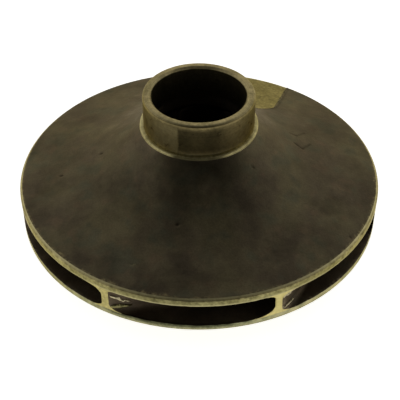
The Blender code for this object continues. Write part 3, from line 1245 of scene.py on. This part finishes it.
@dataclass(frozen=True)
class Vane:
    """One backward-curved vane between the shrouds, with fillets along both."""

    casting: Casting
    number: int
    fillets: Fillets = Fillets()
    # Bright worn tip land; on vane 2 it is raised further as a painted highlight.
    tip_wear_and_sheen: float = 0.25
    flashes: tuple[Flash, ...] = ()
    count: int = 7
    first_azimuth: float = math.radians(240.5)
    angle: float = math.radians(30.0)
    thickness: float = 3.9
    tip_thickness: float = 1.8
    tip_taper: float = 16.0
    nose_length: float = 3.2
    fillet_fade: float = 7.0
    foot_radius: float = 20.6
    head_radius: float = 27.5
    sunk: float = 0.15
    flush: float = 0.02
    uneven: float = 0.22
    uneven_grain: float = 1.3
    uneven_reach: float = 3.0
    stations: int = 60
    crowding: float = 1.6
    arc_steps: int = 7
    land_columns: int = 5

    @property
    def azimuth(self) -> float:
        """Azimuth of the vane's tip."""
        return self.first_azimuth + 2.0 * math.pi * (self.number - 1) / self.count

    def levels(self, floor_fillet: float, roof_fillet: float) -> list[tuple[float, float, bool]]:
        """Return one side's levels from floor to roof.

        Args:
            floor_fillet: Radius of the fillet on the back shroud.
            roof_fillet: Radius of the fillet under the front shroud.

        Returns:
            Distance from the shroud, how far the fillet widens the vane, and whether the shroud is the roof.
        """
        arc = np.linspace(0.0, math.pi / 2.0, self.arc_steps)
        sides = []
        for fillet in (floor_fillet, roof_fillet):
            rises = [(fillet * (1.0 - math.cos(turn)), fillet * (1.0 - math.sin(turn))) for turn in arc]
            sides.append([(-self.sunk, fillet), *rises])
        low = [(distance, spread, False) for distance, spread in sides[0]]
        return low + [(distance, spread, True) for distance, spread in reversed(sides[1])]

    def half_width(self, radii: np.ndarray, nose: float, spread: float | np.ndarray) -> np.ndarray:
        """Return how far one side stands off the middle line.

        Args:
            radii: Radii from the tip inwards.
            nose: Radius of the leading edge at this level.
            spread: How much the fillet widens the vane at this level.

        Returns:
            Lengths across the vane, in millimetres.
        """
        taper = np.minimum((self.casting.rim_radius - radii) / self.tip_taper, 1.0)
        body = self.tip_thickness + (self.thickness - self.tip_thickness) * np.sin(taper * math.pi / 2.0)
        to_nose = np.clip((radii - nose) / self.nose_length, 0.0, 1.0)
        half = body / 2.0 * np.sqrt(1.0 - (1.0 - to_nose) ** 2)
        fade = np.clip((radii - nose) / self.fillet_fade, 0.0, 1.0)
        return half + spread * np.sqrt(fade)

    def face(self, radii: np.ndarray, heights: np.ndarray) -> np.ndarray:
        """Return where the side ahead stands, with its fillets, near the tip.

        Args:
            radii: Radii of the points.
            heights: Heights of the points.

        Returns:
            Azimuths in radians.
        """
        cast = self.casting
        spread = np.zeros(len(radii))
        for fillet, distance in ((self.fillets.ahead_floor, heights - cast.floor(radii)),
                                 (self.fillets.ahead_roof, cast.roof(radii) - heights)):
            below = 1.0 - np.clip(distance / fillet, 0.0, 1.0)
            spread += fillet * (1.0 - np.sqrt(1.0 - below ** 2))
        off = self.half_width(radii, self.foot_radius, spread) / (radii * math.sin(self.angle))
        return self.azimuth + np.log(cast.rim_radius / radii) / math.tan(self.angle) + off

    def side(self, levels: list[tuple[float, float, bool]], way: float) -> np.ndarray:
        """Return one side of the vane.

        Args:
            levels: The side's levels.
            way: 1 for the side ahead, -1 for the side behind.

        Returns:
            The grid of points, a row for each level.
        """
        cast = self.casting
        rows = []
        inward = (1.0 - np.linspace(0.0, 1.0, self.stations)) ** self.crowding
        for index, (distance, spread, from_roof) in enumerate(levels):
            share = index / (len(levels) - 1)
            nose = self.foot_radius + (self.head_radius - self.foot_radius) * share
            radii = nose + (cast.rim_radius - self.flush - nose) * inward
            height = cast.roof(radii) - distance if from_roof else cast.floor(radii) + distance
            place = np.array([[height[0], 10.0 * way, 7.0 * self.number]])
            uneven = self.uneven * ripple(place, self.uneven_grain, 2.0)[0]
            uneven = uneven * np.exp((radii - cast.rim_radius) / self.uneven_reach)
            off = (self.half_width(radii, nose, spread) + uneven) / (radii * math.sin(self.angle))
            azimuth = self.azimuth + np.log(cast.rim_radius / radii) / math.tan(self.angle) + way * off
            rows.append(np.stack([radii * np.cos(azimuth), radii * np.sin(azimuth), height], axis=-1))
        return np.array(rows)

    def build(self, finishes: Finishes) -> bpy.types.Object:
        """Return the piece.

        Args:
            finishes: The finish of each zone.

        Returns:
            The finished object.
        """
        cast = self.casting
        ahead = self.side(self.levels(self.fillets.ahead_floor, self.fillets.ahead_roof), 1.0)
        behind = self.side(self.levels(self.fillets.behind_floor, self.fillets.behind_roof), -1.0)
        skin = Skin()
        skin.grid(ahead, Zone.WET)
        skin.grid(behind, Zone.WET)
        shares = np.linspace(0.0, 1.0, self.land_columns)[None, :, None]
        land = ahead[:, :1] * (1.0 - shares) + behind[:, :1] * shares
        stretch = (cast.rim_radius - self.flush) / np.hypot(land[..., 0], land[..., 1])
        land[..., :2] *= stretch[..., None]
        skin.grid(land, Zone.TIP, wear_and_sheen=np.full(land.shape[:2], self.tip_wear_and_sheen))
        for row in (0, -1):
            skin.grid(np.array([ahead[row], behind[row]]), Zone.WET)
        for flash in self.flashes:
            skin.grid(flash.grid(self), flash.zone, True)
        return skin.build(f"vane_{self.number}_blade", finishes)


@dataclass(frozen=True)
class SkyPart:
    """A part of the sky round one direction, which changes the light's strength from edge to middle."""

    towards: Vector
    edge: float
    middle: float
    strength_outside: float
    strength_inside: float


@dataclass(frozen=True)
class Studio:
    """Pale floor, soft light all round with a dark side by the camera, and the camera."""

    floor_half: float = 6000.0
    camera_place: tuple[float, float, float] = (-7.718, -362.602, 321.391)
    camera_forward: Vector = Vector((0.0168882, 0.7554227, -0.6550201))
    camera_up: Vector = Vector((0.0171350, 0.6547987, 0.7556091))
    lens: float = 83.789
    sensor: float = 36.0
    floor_glow: float = 0.85
    sky_colour: Colour = (1.0, 0.98, 0.94)
    sky: tuple[SkyPart, ...] = (
        SkyPart(Vector((0.0, 0.0, 1.0)), 0.15, 0.98, 1.0, 0.60),
        SkyPart(Vector((0.0, -0.60, 0.80)), 0.30, 0.95, 1.0, 0.03),
    )

    def floor(self) -> None:
        """Lay the pale floor under the hub, lit from below like a light table."""
        graph = Graph("studio_floor")
        tone = graph.blend(graph.clouds(300.0), (0.86, 0.86, 0.86), (0.90, 0.90, 0.90))
        graph.finish(tone, graph.span(graph.clouds(120.0), 0.0, 1.0, 0.7, 0.8), 0.0,
                     graph.bump(graph.clouds(3.0), 0.01))
        graph.shader.inputs["Emission Color"].default_value = (1.0, 1.0, 1.0, 1.0)
        graph.shader.inputs["Emission Strength"].default_value = self.floor_glow
        half = metres(self.floor_half)
        mesh = bpy.data.meshes.new("studio_floor")
        corners = [(-half, -half), (half, -half), (half, half), (-half, half)]
        mesh.from_pydata([(x, y, -metres(0.05)) for x, y in corners], [], [(0, 1, 2, 3)])
        mesh.materials.append(graph.material)
        item = bpy.data.objects.new("studio_floor", mesh)
        bpy.context.scene.collection.objects.link(item)

    def world(self) -> None:
        """Light the scene from all round: bright low down, dimmer overhead, dark where the camera stands."""
        world = bpy.data.worlds.new("studio")
        bpy.context.scene.world = world
        world.use_nodes = True
        tree = world.node_tree
        place = tree.nodes.new("ShaderNodeTexCoord").outputs["Generated"]
        strength = None
        for part in self.sky:
            dot = tree.nodes.new("ShaderNodeVectorMath")
            dot.operation = "DOT_PRODUCT"
            tree.links.new(place, dot.inputs[0])
            dot.inputs[1].default_value = part.towards.normalized()
            span = tree.nodes.new("ShaderNodeMapRange")
            span.interpolation_type = "SMOOTHSTEP"
            tree.links.new(dot.outputs["Value"], span.inputs["Value"])
            limits = {"From Min": part.edge, "From Max": part.middle, "To Min": part.strength_outside,
                      "To Max": part.strength_inside}
            for key, value in limits.items():
                span.inputs[key].default_value = value
            if strength is None:
                strength = span.outputs["Result"]
                continue
            product = tree.nodes.new("ShaderNodeMath")
            product.operation = "MULTIPLY"
            tree.links.new(strength, product.inputs[0])
            tree.links.new(span.outputs["Result"], product.inputs[1])
            strength = product.outputs[0]
        shade = tree.nodes["Background"]
        tree.links.new(strength, shade.inputs["Strength"])
        shade.inputs["Color"].default_value = (*self.sky_colour, 1.0)

    def camera(self) -> None:
        """Set up the camera where the photo was taken from."""
        data = bpy.data.cameras.new("camera")
        data.lens = self.lens
        data.sensor_width = self.sensor
        data.clip_start = metres(10.0)
        data.clip_end = metres(4.0 * self.floor_half)
        item = bpy.data.objects.new("camera", data)
        back = -self.camera_forward.normalized()
        right = self.camera_up.cross(back).normalized()
        turn = Matrix((right, back.cross(right), back)).transposed()
        item.matrix_world = Matrix.Translation(Vector(self.camera_place) * MM) @ turn.to_4x4()
        bpy.context.scene.collection.objects.link(item)
        bpy.context.scene.camera = item

    def build(self) -> None:
        """Set up the studio."""
        self.floor()
        self.world()
        self.camera()
        bpy.context.scene.view_settings.view_transform = "Standard"
        log.info("studio is lit")


def tips() -> dict[int, tuple[Fillets, float, tuple[Flash, ...]]]:
    """Return the shapes of the two vane tips that differ from the rest.

    Returns:
        Fillets, tip wear (on vane 2 also a painted highlight) and ridges by the vane's number.
    """
    first = (
        Flash(((0.3, 8.8, 0.6), (0.8, 8.3, 1.2), (2.3, 6.6, 1.8), (3.0, 5.1, 1.4), (3.4, 5.8, 0.9),
               (4.6, 4.6, 0.4))),
        Flash(((0.5, 11.2, 2.4), (1.9, 9.5, 2.4), (4.4, 7.0, 1.8), (5.7, 6.1, 0.8)), Zone.WET,
              thickness=0.8),
        Flash(((0.25, 2.2, 0.8), (0.3, 2.2, 1.1), (1.3, 2.2, 2.3), (2.1, 2.1, 2.8), (2.9, 2.2, 2.0),
               (3.6, 2.4, 1.0), (4.9, 2.8, 0.4)), Zone.RIM, thickness=1.5),
    )
    second = (
        Flash(((0.25, 8.7, 0.4), (0.25, 10.3, 0.7), (0.25, 11.4, 0.7), (0.25, 12.0, 0.3))),
        Flash(((0.5, 1.9, 0.5), (1.0, 1.9, 1.0), (1.8, 1.6, 1.2), (2.7, 1.5, 1.1), (3.9, 1.7, 0.4))),
        Flash(((1.2, 8.6, 0.5), (1.9, 7.9, 1.3), (3.1, 7.3, 0.5))),
    )
    return {
        1: (Fillets(3.5, 1.2, 3.0, 4.0), 0.1, first),
        # Vane 2's larger tip share is a painted highlight on its tip.
        2: (Fillets(3.0, 4.0, 5.0, 2.0), 0.6, second),
    }


def main() -> None:
    """Build the pieces in order, then the studio."""
    casting = Casting.from_frame()
    finishes = Finishes.make()
    hand_over(FrontShroud(casting).build(finishes), "front_shroud")
    hand_over(SuctionNeck(casting).build(finishes), "suction_neck")
    hand_over(BackShroud(casting).build(finishes), "back_shroud")
    hand_over(Hub(casting).build(finishes), "hub")
    shapes = tips()
    for number in range(1, Vane.count + 1):
        vane = Vane(casting, number, *shapes.get(number, ()))
        hand_over(vane.build(finishes), f"vane_{number}")
    Studio().build()


if __name__ == "__main__":
    logging.basicConfig(level=logging.INFO, format="%(name)s: %(message)s")
    main()
